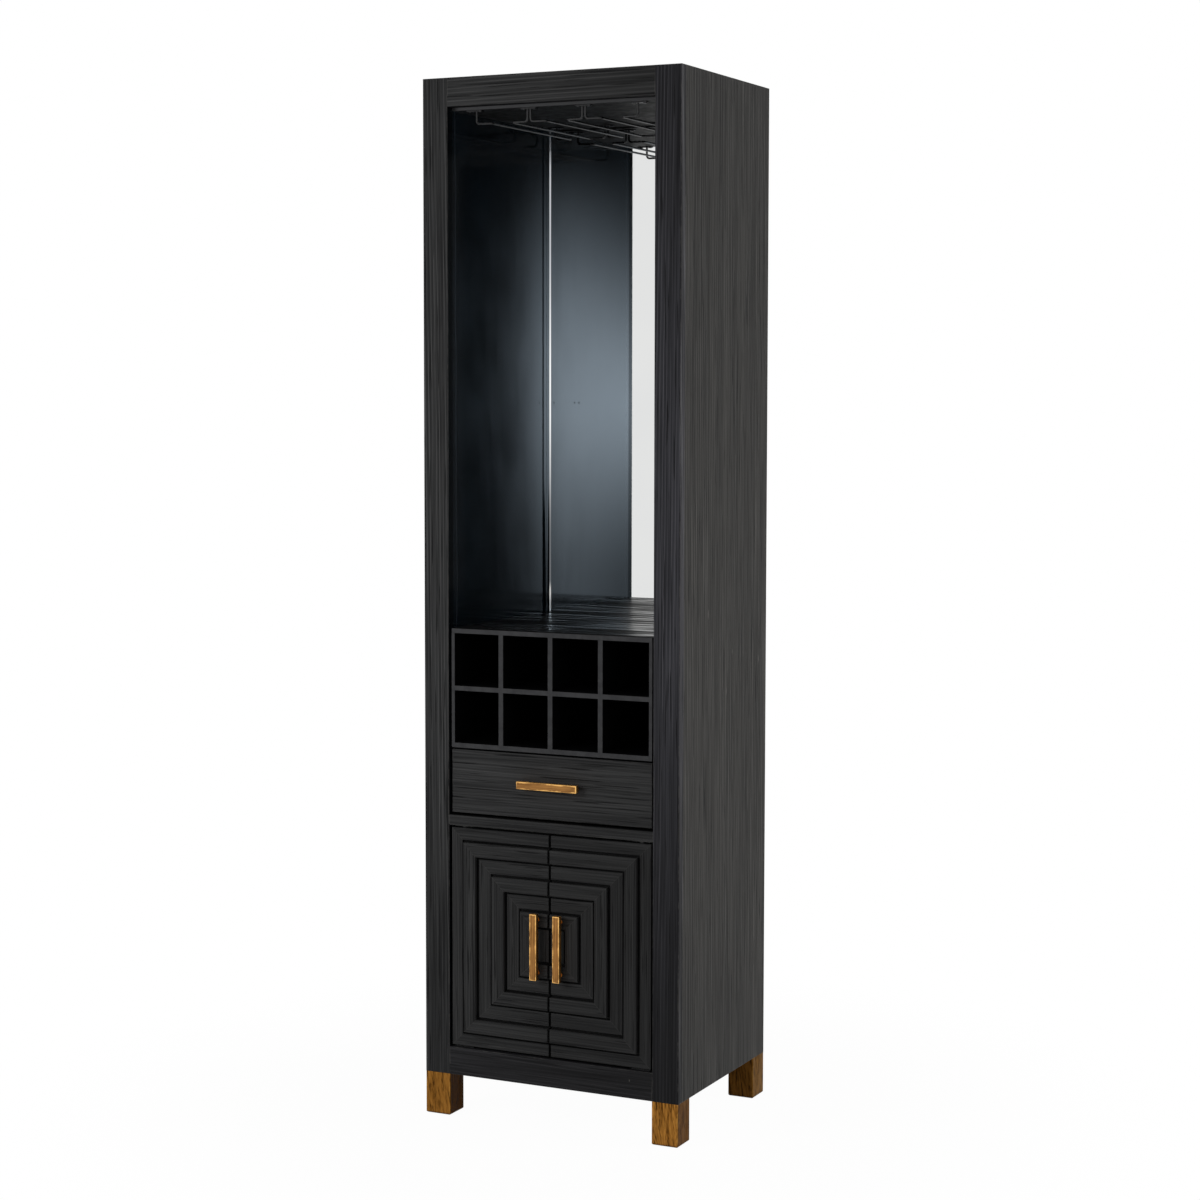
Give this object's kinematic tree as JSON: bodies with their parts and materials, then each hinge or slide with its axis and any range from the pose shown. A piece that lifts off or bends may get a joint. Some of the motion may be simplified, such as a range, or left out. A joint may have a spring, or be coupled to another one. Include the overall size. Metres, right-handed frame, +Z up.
{
  "type": "drinks cabinet",
  "caption": "Tall narrow drinks cabinet on square legs: stemware rack over a mirrored bay, bottle cubby, drawer and a cupboard with carved square doors.",
  "frame": {"origin": "centre of the cabinet's footprint at floor level", "axes": "+Z up, -Y towards the front with the doors and drawer, +X to the right seen from the front"},
  "size_m": [0.508, 0.4154, 1.885],
  "materials": {
    "black_wood": "brushed open grain, black stain, matt",
    "slate_wood": "charcoal grey, matt",
    "satin_lining": "smooth black, satin",
    "dark_back": "black board, matt",
    "pale_wood": "plain plywood and pine, unfinished",
    "leg_wood": "golden brown, dark grain, satin",
    "glide_plastic": "black",
    "mirror_glass": "clear mirror",
    "black_wire": "black, satin",
    "aged_brass": "antique brass, edges worn bright",
    "zinc_steel": "zinc plated"
  },
  "bodies": {
    "root": {"back_panel": "dark_back", "bottom_panel": "satin_lining", "bottom_rail": "black_wood", "ceiling_panel": "satin_lining", "corner_blocks": "pale_wood", "counter_edging": "slate_wood", "counter_top": "satin_lining", "cubby_boards": "slate_wood", "cubby_dividers": "slate_wood", "cubby_sides": "slate_wood", "cupboard_shelf": "satin_lining", "door_catches": "glide_plastic", "dowels": "pale_wood", "drawer_rail": "black_wood", "dust_panel": "satin_lining", "leg_bolts": "zinc_steel", "leg_front_left": "leg_wood", "leg_front_right": "leg_wood", "leg_glides": "glide_plastic", "leg_rear_left": "leg_wood", "leg_rear_right": "leg_wood", "mirror": "mirror_glass", "pivot_plates": "black_wire", "rack_plates": "black_wire", "rack_wires_left": "black_wire", "rack_wires_middle": "black_wire", "rack_wires_right": "black_wire", "shelf_pins": "zinc_steel", "side_battens": "pale_wood", "side_lining_left": "satin_lining", "side_lining_right": "satin_lining", "side_panel_left": "black_wood", "side_panel_right": "black_wood", "slide_outer_members": "zinc_steel", "stile_left": "black_wood", "stile_right": "black_wood", "top_panel": "black_wood", "top_rail": "black_wood", "wood_screws": "black_wire"},
    "slide_middle": {"slide_middle_members": "zinc_steel"},
    "drawer": {"drawer_front": "black_wood", "drawer_box_ends": "pale_wood", "drawer_sides": "pale_wood", "drawer_bottom": "pale_wood", "drawer_pull": "aged_brass", "slide_inner_members": "zinc_steel", "drawer_screws": "zinc_steel"},
    "left_door": {"left_door_fittings": "black_wire", "left_door_flush_strips": "black_wood", "left_door_panel": "black_wood", "left_door_pull": "aged_brass", "left_door_pull_screws": "zinc_steel", "left_door_raised_strips": "black_wood"},
    "right_door": {"right_door_fittings": "black_wire", "right_door_flush_strips": "black_wood", "right_door_panel": "black_wood", "right_door_pull": "aged_brass", "right_door_pull_screws": "zinc_steel", "right_door_raised_strips": "black_wood"}
  },
  "joints": [
    {"name": "left_door_hinge", "type": "hinge", "parent": "root", "child": "left_door", "pos_m": [-0.1778, -0.17325, 0.336], "axis": [0, 0, -1], "range_deg": [0, 105]},
    {"name": "right_door_hinge", "type": "hinge", "parent": "root", "child": "right_door", "pos_m": [0.1778, -0.17325, 0.336], "axis": [0, 0, 1], "range_deg": [0, 105]},
    {"name": "drawer_slide", "type": "slide", "parent": "root", "child": "drawer", "axis": [0, -1, 0], "range_m": [0, 0.28]},
    {"name": "middle_slide", "type": "slide", "parent": "root", "child": "slide_middle", "axis": [0, -1, 0], "range_m": [0, 0.14]}
  ],
  "couplings": [
    {"joint": "middle_slide", "follows": "drawer_slide", "ratio": 0.5}
  ]
}
